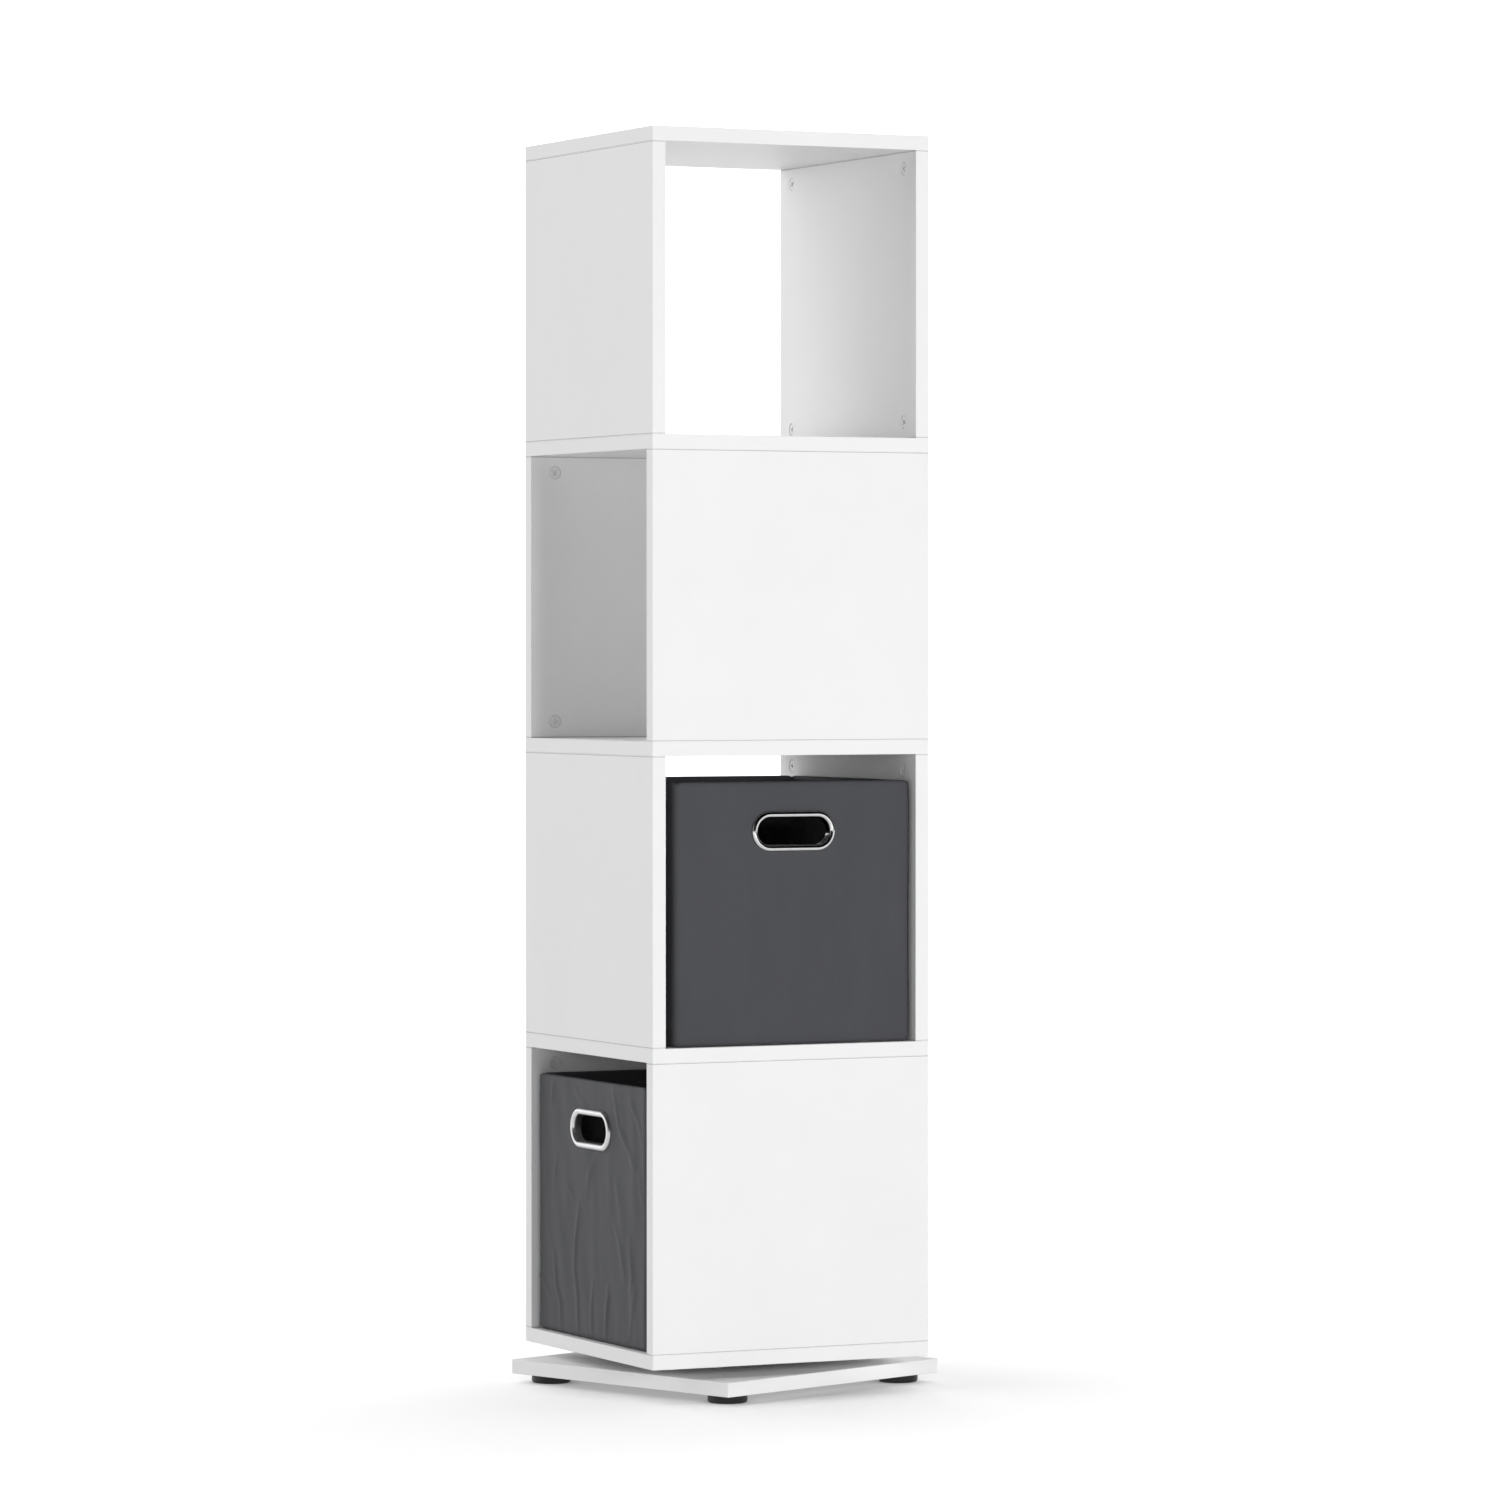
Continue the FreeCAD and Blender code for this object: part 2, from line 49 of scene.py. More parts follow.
CAMERA_DOWN_DEG = 0.937

# Floor, in metres: the middle of the shade painted into its glow, how far from there it turns white, and how
# far from the axis its glow starts past the base. The glow is painted light; where it is weak or none, it
# paints shadow.
FLOOR_SIZE = 60.0
FLOOR_PAINTED_SHADE_MIDDLE = (-0.55, 0.1, 0)
FLOOR_PAINTED_SHADE_RADIUS = 0.6
FLOOR_WHITE_RADIUS = 4.0
FLOOR_PAINTED_SHADE_UNDER_BASE = (0.16, 0.25)
FLOOR_GLOW = 0.25
FLOOR_FAR_GLOW = 0.75

# Room: its light in front, behind and below, the limits between them as parts of a direction, and the share
# of the light from overhead that shows in reflections
ROOM_FRONT = 0.03
ROOM_BACK = 1.7
ROOM_BELOW = 0.5
ROOM_DARK_TO = -0.6
ROOM_BRIGHT_FROM = 0.8
ROOM_TURN_DEG = 4.0
GROUND_TO = -0.2
GROUND_FADES_AT = -0.05
OVERHEAD_FROM = 0.2
OVERHEAD_TO = 0.6
OVERHEAD_SHARE = 0.04

# Lamps
LAMP_TARGET = (0, 0, 0.6)
LAMP_PLACE = (0.4, -6.0, 1.0)
LAMP_SIZE = 1.8
LAMP_POWER = 248.0
FILL_PLACE = (-3.6, -5.0, 0.8)
FILL_SIZE = 1.5
FILL_POWER = 44.0

# Limits in metres for finding parts of a mesh by their place and for merging doubles
SAME_PLACE = 1e-5
MERGE_DISTANCE = 1e-6
RING_MERGE_DISTANCE = 2e-5

# Box covers, in metres
WALL = 0.0047
CLOTH_THICKNESS = 0.0009
BOX_CORNER = 0.007
CORNER_SEGMENTS = 4
RIM_ROUND = 0.00285
RIM_STEP_DEG = 30
RIM_CORNER_DROP = 0.0015
RIM_CORNER_DEPTH = 0.025
FLOOR_ROUND = 0.004
FLOOR_BEVEL = 0.0012
HEM_DEPTH = 0.016
HEM_ROWS = 4
HOLE_MARGIN = 0.0035
HOLE_REACH = 0.01

# Linings, in metres, with the squares along each wall. They sway less within the held depth below the top,
# and the floor's edge goes in steps of inset from the walls and rise from the floor.
LINING_THICKNESS = 0.0008
LINING_LEVEL = 0.0057
LINING_SQUARES = 30
LINING_SWAY = 0.0004
LINING_SWAYS_PER_M = 14
LINING_HELD_DEPTH = 0.03
LINING_FLOOR = ((0.0015, -0.0006), (0.004, 0.0), (0.05, 0.0008))

# Hand rings, in metres, with the points of their section and the steps round each end
RING_FLANGE = 0.0075
RING_NECK = 0.0018
RING_SECTION_POINTS = 32
RING_END_STEPS = 28

# Stitches, in metres; the inset and the length of their ends are shares of the radius
STITCH_LENGTH = 0.0034
STITCH_PITCH = 0.0042
STITCH_RADIUS = 0.00035
STITCH_SIDES = 6
STITCH_END_INSET = 0.3
STITCH_END_LENGTH = 0.6
STITCH_FROM_EDGE = 0.004
STITCH_END_CLEARANCE = 0.016

# Cloth run, in metres: how far folds may sink in and side walls may stand out, the bands where the cloth is
# held, the share of its spare width that it loses up to the rim, and the ripple that starts the folds
SIM_FRAMES = 24
FOLD_DEEPEST = 0.0003
SIDE_PROUD = 0.0009
HELD_EDGE = 0.005
HELD_RING = 0.003
SPARE_LOSS = 0.45
RIPPLE_HEIGHT = 0.0012
RIPPLE_LIFT = 0.0002
RIPPLE_ACROSS = 45
RIPPLE_SLANT = 6
RIPPLE_UP = 12
FRONT_FACING = 0.9
CLOTH = {
    "quality": 6,
    "mass": 0.15,
    "tension_stiffness": 20,
    "compression_stiffness": 20,
    "shear_stiffness": 8,
    "bending_stiffness": 0.4,
    "air_damping": 2,
}

# Creases in the lower box's front: half width and height in metres, then points along the line as shares of
# the front's width from the left and of its height from the floor
CREASE_FADE = 0.6
CREASES = (
    (0.0060, 0.0012, ((0.15, 0.99), (0.13, 0.86))),
    (0.0060, 0.0011, ((0.33, 0.97), (0.39, 0.92), (0.47, 0.89))),
    (0.0068, 0.0017, ((0.70, 0.99), (0.73, 0.91), (0.75, 0.84), (0.84, 0.75), (0.91, 0.68))),
    (0.0064, 0.0011, ((0.85, 0.95), (0.92, 0.87), (0.96, 0.79))),
    (0.0060, 0.0008, ((0.18, 0.70), (0.15, 0.57))),
    (0.0064, 0.0007, ((0.09, 0.65), (0.03, 0.52))),
    (0.0064, 0.0007, ((0.25, 0.61), (0.35, 0.52))),
    (0.0068, 0.0018, ((0.39, 0.53), (0.35, 0.36), (0.345, 0.27), (0.37, 0.16), (0.375, 0.01))),
    (0.0064, 0.0016, ((0.15, 0.32), (0.17, 0.18), (0.21, 0.12), (0.22, 0.01))),
    (0.0060, 0.0011, ((0.01, 0.22), (0.07, 0.17), (0.12, 0.13))),
    (0.0064, 0.0013, ((0.52, 0.24), (0.50, 0.12), (0.506, 0.01))),
    (0.0064, 0.0017, ((0.66, 0.23), (0.64, 0.12), (0.628, 0.01))),
    (0.0075, 0.0010, ((0.70, 0.49), (0.77, 0.37), (0.81, 0.24))),
    (0.0075, 0.0010, ((0.84, 0.44), (0.87, 0.28), (0.85, 0.12))),
    (0.0064, 0.0011, ((0.90, 0.25), (0.87, 0.13), (0.84, 0.02))),
    (0.0075, 0.0007, ((0.72, 0.66), (0.75, 0.53))),
    (0.0071, 0.0007, ((0.54, 0.71), (0.48, 0.64), (0.45, 0.54))),
    (0.0071, 0.0007, ((0.93, 0.69), (0.97, 0.52))),
)

# Each box: its turn from facing -Y, the squares across its front, back and sides and up its walls, the spare
# width of its cloth, its creases, how far its folds may stand out, their seed, and the finish of its ring
BOXES = {
    "upper_box": {
        "turn": 0.0,
        "squares": (72, 40, 40, 72),
        "spare": 0.004,
        "creases": (),
        "proud": 0.0015,
        "seed": 3.0,
        "ring": "ring_chrome",
    },
    "lower_box": {
        "turn": -math.pi / 2,
        "squares": (150, 40, 40, 110),
        "spare": 0.02,
        "creases": CREASES,
        "proud": 0.0032,
        "seed": 11.0,
        "ring": "ring_satin",
    },
}

# Finishes: colours of the fabric and the lining, the fabric's sheen and its bands to the metre, and the grey
# of the painted shade at the joints between panels and boards, with its reach from the board
FABRIC_TONES = ((0.064, 0.065, 0.071), (0.07, 0.071, 0.0775))
FABRIC_SHEEN = 0.02
THREADS = 480.0
LINING_TONES = ((0.075, 0.075, 0.077), (0.1, 0.1, 0.103))
JOINT_SHADE_TINT = (0.5, 0.5, 0.51)
JOINT_SHADE_REACH = (0.00003, 0.00055)

# Cam locks, in metres: face, chamfer, dish, cross recess and place on the panel. The reach of the dish and
# the taper of the cross are shares; the turns of the crosses are in radians.
CAM_SIDES = 32
CAM_RADIUS = 0.0074
CAM_DEPTH = 0.003
CAM_SETBACK = 0.0003
CAM_CHAMFER = 0.0008
CAM_RIM = 0.0012
CAM_DISH = 0.00025
DISH_REACH = 0.8
CROSS_HALF_WIDTH = 0.0009
CROSS_HALF_LENGTH = 0.0036
CROSS_DEPTH = 0.0018
CROSS_TAPER = 0.8
CAM_SIDE_INSET = 0.030
CAM_EDGE_DISTANCE = 0.0185
CAM_FIRST_TURN = 0.35
CAM_NEXT_TURN = 0.9


# Selecting and shaping


def clamped(value, limit):
    return max(-limit, min(limit, value))


def deselect():
    if bpy.context.mode != "OBJECT":
        bpy.ops.object.mode_set(mode="OBJECT")
    bpy.ops.object.select_all(action="DESELECT")


def added(name, operator, **options):
    """A new object from a primitive operator, alone selected, in object mode."""
    deselect()
    operator(**options)
    piece = bpy.context.object
    piece.name = name
    piece.data.name = name
    return piece


def edit(piece, kind="VERT"):
    """Edit mode on one piece with nothing selected."""
    deselect()
    bpy.context.view_layer.objects.active = piece
    piece.select_set(True)
    bpy.ops.object.mode_set(mode="EDIT")
    bpy.ops.mesh.select_mode(type=kind)
    bpy.ops.mesh.select_all(action="DESELECT")


def leave_edit():
    bpy.ops.object.mode_set(mode="OBJECT")


def middle(part):
    """Middle of a vertex, edge or face."""
    if isinstance(part, bmesh.types.BMVert):
        return part.co
    return sum((v.co for v in part.verts), Vector()) / len(part.verts)


def select(parts, test):
    """Selects in edit mode the vertices, edges or faces whose middle passes a test."""
    mesh = bpy.context.edit_object.data
    work = bmesh.from_edit_mesh(mesh)
    bpy.ops.mesh.select_all(action="DESELECT")
    for part in getattr(work, parts):
        if test(middle(part)):
            part.select_set(True)
    bmesh.update_edit_mesh(mesh)


def applied(piece, kind, name, **settings):
    """Adds a modifier with its settings and applies it."""
    bpy.context.view_layer.objects.active = piece
    modifier = piece.modifiers.new(name, kind)
    for key, value in settings.items():
        setattr(modifier, key, value)
    bpy.ops.object.modifier_apply(modifier=name)


def smooth(piece, angle_deg):
    deselect()
    bpy.context.view_layer.objects.active = piece
    piece.select_set(True)
    bpy.ops.object.shade_smooth_by_angle(angle=math.radians(angle_deg))


def close_up(piece, distance=MERGE_DISTANCE):
    """Merges doubles and turns all faces outwards."""
    edit(piece)
    bpy.ops.mesh.select_all(action="SELECT")
    bpy.ops.mesh.remove_doubles(threshold=distance)
    bpy.ops.mesh.normals_make_consistent(inside=False)
    leave_edit()


# Materials


def material(name):
    made = bpy.data.materials.new(name)
    made.use_nodes = True
    return made, made.node_tree, made.node_tree.nodes["Principled BSDF"]


def node(tree, kind, **values):
    """A node, with its inputs set by name and its other settings by attribute."""
    made = tree.nodes.new(kind)
    for key, value in values.items():
        if key in made.inputs:
            made.inputs[key].default_value = value
        else:
            setattr(made, key, value)
    return made


def ranged(tree, source, target=(0.0, 1.0), **settings):
    """A node that maps a value from the source range to the target range."""
    made = node(tree, "ShaderNodeMapRange", **settings)
    for socket, value in zip(("From Min", "From Max", "To Min", "To Max"), (*source, *target)):
        made.inputs[socket].default_value = value
    return made


def soft_range(tree, source, target=(0.0, 1.0)):
    return ranged(tree, source, target, interpolation_type="SMOOTHSTEP")


def linked(tree, source, output, target, socket):
    tree.links.new(source.outputs[output], target.inputs[socket])


def mottled(tree, shader, scale, tones, roughness, stretch=(1, 1, 1), detail=4.0):
    """Cloudy pattern on Object coordinates that varies the colour and the roughness a little."""
    place = node(tree, "ShaderNodeTexCoord")
    fit = node(tree, "ShaderNodeMapping")
    fit.inputs["Scale"].default_value = stretch
    cloud = node(tree, "ShaderNodeTexNoise", Scale=scale, Detail=detail, Roughness=0.6)
    tone = node(tree, "ShaderNodeValToRGB")
    tone.color_ramp.elements[0].position = 0.3
    tone.color_ramp.elements[1].position = 0.7
    tone.color_ramp.elements[0].color = (*tones[0], 1)
    tone.color_ramp.elements[1].color = (*tones[1], 1)
    rough = ranged(tree, (0.0, 1.0), roughness)
    linked(tree, place, "Object", fit, "Vector")
    linked(tree, fit, "Vector", cloud, "Vector")
    linked(tree, cloud, "Fac", tone, "Fac")
    linked(tree, tone, "Color", shader, "Base Color")
    linked(tree, cloud, "Fac", rough, "Value")
    linked(tree, rough, "Result", shader, "Roughness")
    return fit


def raised_grain(tree, shader, source, output, strength, distance):
    bump = node(tree, "ShaderNodeBump", Strength=strength, Distance=distance)
    linked(tree, source, output, bump, "Height")
    linked(tree, bump, "Normal", shader, "Normal")


def painted_joint_shade(tree, shader):
    """Paints shade grey on the panels' eased ends, where they meet the boards, by height from the nearest
    board.
    """
    low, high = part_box("bottom_board")
    half_pitch = (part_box("lower_shelf")[0].z - low.z) / 2
    board = (high.z - low.z) / 2
    place = node(tree, "ShaderNodeTexCoord")
    parts = node(tree, "ShaderNodeSeparateXYZ")
    above = ranged(tree, (low.z + board, low.z + board + half_pitch), clamp=False)
    level = node(tree, "ShaderNodeMath", operation="PINGPONG")
    level.inputs[1].default_value = 1.0
    line = node(tree, "ShaderNodeValToRGB")
    ramp = line.color_ramp
    ramp.interpolation = "CONSTANT"
    ramp.elements[0].color = (1, 1, 1, 1)
    ramp.elements[1].position = (board + JOINT_SHADE_REACH[1]) / half_pitch
    ramp.elements[1].color = (1, 1, 1, 1)
    ramp.elements.new((board + JOINT_SHADE_REACH[0]) / half_pitch).color = (*JOINT_SHADE_TINT, 1)
    # Painted shade: the board's colour is multiplied by the grey at the joints
    shaded = node(tree, "ShaderNodeMix", data_type="RGBA", blend_type="MULTIPLY")
    shaded.inputs["Factor"].default_value = 1.0
    linked(tree, place, "Object", parts, "Vector")
    linked(tree, parts, "Z", above, "Value")
    tree.links.new(above.outputs["Result"], level.inputs[0])
    tree.links.new(level.outputs["Value"], line.inputs["Fac"])
    tree.links.new(shader.inputs["Base Color"].links[0].from_socket, shaded.inputs[6])
    tree.links.new(line.outputs["Color"], shaded.inputs[7])
    tree.links.new(shaded.outputs[2], shader.inputs["Base Color"])


def white_board():
    """White coated board with the fine pearl texture of its film and grey painted shade at the joints."""
    made, tree, shader = material("white_board")
    fit = mottled(
        tree,
        shader,
        scale=9,
        tones=((0.845, 0.845, 0.848), (0.868, 0.868, 0.87)),
        roughness=(0.4, 0.5),
    )
    painted_joint_shade(tree, shader)
    pearl = node(tree, "ShaderNodeTexNoise", Scale=1100, Detail=3.0, Roughness=0.55)
    linked(tree, fit, "Vector", pearl, "Vector")
    raised_grain(tree, shader, pearl, "Fac", strength=0.12, distance=0.00015)
    return made


def foot_plastic():
    """Black moulded plastic with a spark-eroded grain."""
    made, tree, shader = material("foot_plastic")
    fit = mottled(
        tree,
        shader,
        scale=60,
        tones=((0.008, 0.008, 0.0085), (0.014, 0.014, 0.0145)),
        roughness=(0.38, 0.55),
    )
    shader.inputs["Specular IOR Level"].default_value = 0.4
    grain = node(tree, "ShaderNodeTexVoronoi", Scale=1400)
    linked(tree, fit, "Vector", grain, "Vector")
    raised_grain(tree, shader, grain, "Distance", strength=0.25, distance=0.0002)
    return made


def cam_face():
    """Light nickel-plated die casting, slightly uneven."""
    made, tree, shader = material("cam_face")
    fit = mottled(
        tree,
        shader,
        scale=240,
        tones=((0.72, 0.72, 0.72), (0.84, 0.84, 0.84)),
        roughness=(0.32, 0.5),
    )
    shader.inputs["Metallic"].default_value = 0.15
    cast = node(tree, "ShaderNodeTexNoise", Scale=1800, Detail=3.0)
    linked(tree, fit, "Vector", cast, "Vector")
    raised_grain(tree, shader, cast, "Fac", strength=0.15, distance=0.0002)
    return made


def zinc_steel():
    """Zinc-plated steel sheet with faint spangles and drawing lines."""
    made, tree, shader = material("zinc_steel")
    fit = mottled(
        tree,
        shader,
        scale=70,
        tones=((0.46, 0.47, 0.49), (0.62, 0.63, 0.65)),
        roughness=(0.28, 0.45),
    )
    shader.inputs["Metallic"].default_value = 1.0
    spangle = node(tree, "ShaderNodeTexVoronoi", Scale=220)
    linked(tree, fit, "Vector", spangle, "Vector")
    raised_grain(tree, shader, spangle, "Distance", strength=0.08, distance=0.0003)
    return made


def ball_steel():
    made, tree, shader = material("ball_steel")
    mottled(
        tree,
        shader,
        scale=400,
        tones=((0.6, 0.6, 0.61), (0.68, 0.68, 0.69)),
        roughness=(0.1, 0.18),
    )
    shader.inputs["Metallic"].default_value = 1.0
    return made


def cage_plastic():
    """Milky moulded nylon."""
    made, tree, shader = material("cage_plastic")
    fit = mottled(
        tree,
        shader,
        scale=90,
        tones=((0.66, 0.65, 0.6), (0.74, 0.73, 0.69)),
        roughness=(0.42, 0.58),
    )
    shader.inputs["Subsurface Weight"].default_value = 0.1
    flow = node(tree, "ShaderNodeTexNoise", Scale=500, Detail=2.0)
    linked(tree, fit, "Vector", flow, "Vector")
    raised_grain(tree, shader, flow, "Fac", strength=0.1, distance=0.0002)
    return made


def box_fabric():
    """Grey woven polyester: two sets of crossing threads, a little slub and a soft sheen."""
    made, tree, shader = material("box_fabric")
    mottled(
        tree,
        shader,
        scale=35,
        tones=FABRIC_TONES,
        roughness=(0.5, 0.62),
        stretch=(1, 1, 0.25),
        detail=6.0,
    )
    shader.inputs["Specular IOR Level"].default_value = 0.2
    shader.inputs["Sheen Weight"].default_value = FABRIC_SHEEN
    shader.inputs["Sheen Roughness"].default_value = 0.45
    shader.inputs["Sheen Tint"].default_value = (0.8, 0.8, 0.86, 1)
    place = node(tree, "ShaderNodeTexCoord")
    round_walls = node(tree, "ShaderNodeMapping")
    round_walls.inputs["Rotation"].default_value = (0, 0, -math.pi / 4)
    round_walls.inputs["Scale"].default_value = (1, 1, 1 / math.sqrt(2))
    warp = node(tree, "ShaderNodeTexWave", bands_direction="X", Scale=THREADS, Distortion=0.6, Detail=2.0)
    weft = node(tree, "ShaderNodeTexWave", bands_direction="Z", Scale=THREADS, Distortion=0.6, Detail=2.0)
    woven = node(tree, "ShaderNodeMath", operation="MAXIMUM")
    linked(tree, place, "Object", round_walls, "Vector")
    linked(tree, round_walls, "Vector", warp, "Vector")
    linked(tree, round_walls, "Vector", weft, "Vector")
    tree.links.new(warp.outputs["Fac"], woven.inputs[0])
    tree.links.new(weft.outputs["Fac"], woven.inputs[1])
    raised_grain(tree, shader, woven, "Value", strength=0.2, distance=0.0003)
    return made


def box_lining():
    """Dark pressed felt with small embossed dots."""
    made, tree, shader = material("box_lining")
    fit = mottled(
        tree,
        shader,
        scale=120,
        tones=LINING_TONES,
        roughness=(0.85, 0.97),
        detail=8.0,
    )
    shader.inputs["Specular IOR Level"].default_value = 0.15
    dots = node(tree, "ShaderNodeTexVoronoi", Scale=600, Randomness=0.35)
    linked(tree, fit, "Vector", dots, "Vector")
    raised_grain(tree, shader, dots, "Distance", strength=0.3, distance=0.0003)
    return made


def hem_thread():
    """Grey sewing thread with the uneven shade of its twisted strands."""
    made, tree, shader = material("hem_thread")
    fit = mottled(
        tree,
        shader,
        scale=900,
        tones=((0.13, 0.131, 0.138), (0.19, 0.191, 0.2)),
        roughness=(0.55, 0.7),
    )
    strands = node(tree, "ShaderNodeTexNoise", Scale=2500, Detail=2.0)
    linked(tree, fit, "Vector", strands, "Vector")
    raised_grain(tree, shader, strands, "Fac", strength=0.3, distance=0.0001)
    return made


def box_card():
    """Grey-brown card with short fibres."""
    made, tree, shader = material("box_card")
    fit = mottled(
        tree,
        shader,
        scale=260,
        tones=((0.22, 0.18, 0.13), (0.33, 0.27, 0.2)),
        roughness=(0.85, 0.95),
        stretch=(1, 1, 0.3),
    )
    fibre = node(tree, "ShaderNodeTexNoise", Scale=900, Detail=5.0)
    linked(tree, fit, "Vector", fibre, "Vector")
    raised_grain(tree, shader, fibre, "Fac", strength=0.2, distance=0.0003)
    return made


def ring_chrome():
    """Bright chrome with a trace of handling haze."""
    made, tree, shader = material("ring_chrome")
    mottled(
        tree,
        shader,
        scale=160,
        tones=((0.46, 0.46, 0.467), (0.52, 0.52, 0.527)),
        roughness=(0.08, 0.14),
    )
    shader.inputs["Metallic"].default_value = 1.0
    return made


def ring_satin():
    """Satin nickel, whose soft reflections run evenly round the ring."""
    made, tree, shader = material("ring_satin")
    mottled(
        tree,
        shader,
        scale=160,
        tones=((0.56, 0.56, 0.565), (0.62, 0.62, 0.625)),
        roughness=(0.28, 0.34),
    )
    shader.inputs["Metallic"].default_value = 1.0
    return made


FINISHES = (
    white_board,
    foot_plastic,
    cam_face,
    zinc_steel,
    ball_steel,
    cage_plastic,
    box_fabric,
    box_lining,
    hem_thread,
    box_card,
    ring_chrome,
    ring_satin,
)
MATERIALS = {finish.__name__: finish() for finish in FINISHES}


def dress_nodes():
    """Each CAD node comes in with a plain material that is named for its slot."""
    for cad_node in NODES.values():
        slot = cad_node.data.materials[0].name
        cad_node.data.materials[0] = MATERIALS[slot]


dress_nodes()


# Fabric boxes, shaped over the origin with their front to -Y


class Box:
    """Place and outside sizes of a fabric box, read from its CAD nodes."""

    def __init__(self, name):
        self.name = name
        self.turn = BOXES[name]["turn"]
        low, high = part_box(name + "_cover")
        span = high - low
        self.place = Vector(((low.x + high.x) / 2, (low.y + high.y) / 2, low.z))
        self.width, self.depth = (span.x, span.y) if self.turn == 0 else (span.y, span.x)
        self.height = span.z
        self.face = -self.depth / 2
        low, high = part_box(name + "_hand_ring")
        span = high - low
        self.ring_height = span.z
        ring_length, ring_depth = (span.x, span.y) if self.turn == 0 else (span.y, span.x)
        self.ring_middle = (low.z + high.z) / 2 - self.place.z
        self.ring_run = (ring_length - self.ring_height) / 2
        front = low.y if self.turn == 0 else low.x
        middle_line = self.place.y if self.turn == 0 else self.place.x
        self.ring_front = front - middle_line
        self.ring_back = self.ring_front + ring_depth

    def set_in_place(self, piece):
        piece.rotation_euler = (0, 0, self.turn)
        piece.location = self.place
        deselect()
        bpy.context.view_layer.objects.active = piece
        piece.select_set(True)
        bpy.ops.object.transform_apply(location=True, rotation=True, scale=True)

    def off_oval(self, point, radius):
        """Distance of a point on the front wall from an oval round the hand hole, and its nearest centre."""
        centre = Vector((clamped(point.x, self.ring_run), point.y, self.ring_middle))
        return (point - centre).length - radius, centre


def open_walls(name, width, depth, floor, top, squares):
    """Tube with rounded corners, divided into squares that are counted for front, back, sides and upwards."""
    front, back, side, up = squares
    piece = added(name, bpy.ops.mesh.primitive_plane_add, size=1, location=(0, 0, floor))
    piece.scale = (width, depth, 1)
    bpy.ops.object.transform_apply(location=True, rotation=True, scale=True)
    edit(piece)
    bpy.ops.mesh.select_all(action="SELECT")
    bpy.ops.mesh.bevel(offset=BOX_CORNER, segments=CORNER_SEGMENTS, affect="VERTICES")
    bpy.ops.mesh.select_mode(type="EDGE")
    bpy.ops.mesh.select_all(action="SELECT")
    bpy.ops.mesh.delete(type="ONLY_FACE")
    select("edges", lambda m: abs(m.x) < BOX_CORNER and m.y < 0)
    bpy.ops.mesh.subdivide(number_cuts=front - 1)
    select("edges", lambda m: abs(m.x) < BOX_CORNER and m.y > depth / 3)
    bpy.ops.mesh.subdivide(number_cuts=back - 1)
    select("edges", lambda m: abs(m.y) < BOX_CORNER and abs(m.x) > width / 3)
    bpy.ops.mesh.subdivide(number_cuts=side - 1)
    bpy.ops.mesh.select_all(action="SELECT")
    bpy.ops.mesh.extrude_region_move(TRANSFORM_OT_translate={"value": (0, 0, top - floor)})
    select("edges", lambda m: abs(m.z - (floor + top) / 2) < SAME_PLACE)
    bpy.ops.mesh.subdivide(number_cuts=up - 1)
    bpy.ops.mesh.select_all(action="SELECT")
    bpy.ops.mesh.normals_make_consistent(inside=False)
    leave_edit()
    return piece


def draw_edge(width, depth, level, steps):
    """Draws the selected edge on, step by step, to an inset from the walls and a level."""
    inset = 0.0
    for next_inset, next_level in steps:
        bpy.ops.mesh.extrude_region_move(TRANSFORM_OT_translate={"value": (0, 0, next_level - level)})
        ratio = [(side - 2 * next_inset) / (side - 2 * inset) for side in (width, depth)]
        bpy.ops.transform.resize(value=(*ratio, 1), center_override=(0, 0, next_level))
        inset, level = next_inset, next_level


def open_hand_hole(piece, box):
    """Opens the front wall; the cut edge follows an oval that the ring's flange covers."""
    radius = box.ring_height / 2 - HOLE_MARGIN
    edit(piece, "FACE")
    select("faces", lambda m: m.y < box.face / 2 and box.off_oval(m, radius)[0] < 0)
    bpy.ops.mesh.delete(type="FACE")
    leave_edit()
    work = bmesh.new()
    work.from_mesh(piece.data)
    for vertex in work.verts:
        if vertex.is_boundary and vertex.co.y < box.face / 2:
            off, centre = box.off_oval(vertex.co, radius)
            if off < HOLE_REACH:
                vertex.co -= (vertex.co - centre).normalized() * off
    work.to_mesh(piece.data)
    work.free()


def outward(point, box):
    """Direction that a point of the cover faces, on a wall or round a corner."""
    flat_x, flat_y = box.width / 2 - BOX_CORNER, box.depth / 2 - BOX_CORNER
    way = Vector((point.x - clamped(point.x, flat_x), point.y - clamped(point.y, flat_y), 0))
    return way.normalized()


def crease_rise(point, box, crease):
    """Height of a crease at a point of the front wall: a soft ridge along its line, fading at both ends."""
    half_width, height, shares = crease
    line = [Vector(((u - 0.5) * box.width, v * box.height)) for u, v in shares]
    spot = Vector((point.x, point.z))
    lengths = [(b - a).length for a, b in zip(line, line[1:])]
    nearest, along, passed = half_width, 0.0, 0.0
    for a, b, length in zip(line, line[1:], lengths):
        share = max(0.0, min(1.0, (spot - a).dot(b - a) / length**2))
        distance = (spot - a.lerp(b, share)).length
        if distance < nearest:
            nearest, along = distance, (passed + share * length) / sum(lengths)
        passed += length
    if nearest >= half_width:
        return 0.0
    across = math.cos(math.pi / 2 * nearest / half_width) ** 2
    return height * across * math.sin(math.pi * along) ** CREASE_FADE


def hold_cloth(piece, box, start):
    """Marks what stays in place: the corners, the rim, the floor's edge and the cloth at the ring."""
    bottom, top = min(p.z for p in start), max(p.z for p in start)
    held = piece.vertex_groups.new(name="held")
    for i, p in enumerate(start):
        on_corner = abs(p.x) > box.width / 2 - BOX_CORNER and abs(p.y) > box.depth / 2 - BOX_CORNER
        at_ring = p.y < box.face / 2 and box.off_oval(p, box.ring_height / 2)[0] < HELD_RING
        if on_corner or at_ring or p.z > top - HELD_EDGE or p.z < bottom + HELD_EDGE:
            held.add([i], 1.0, "REPLACE")


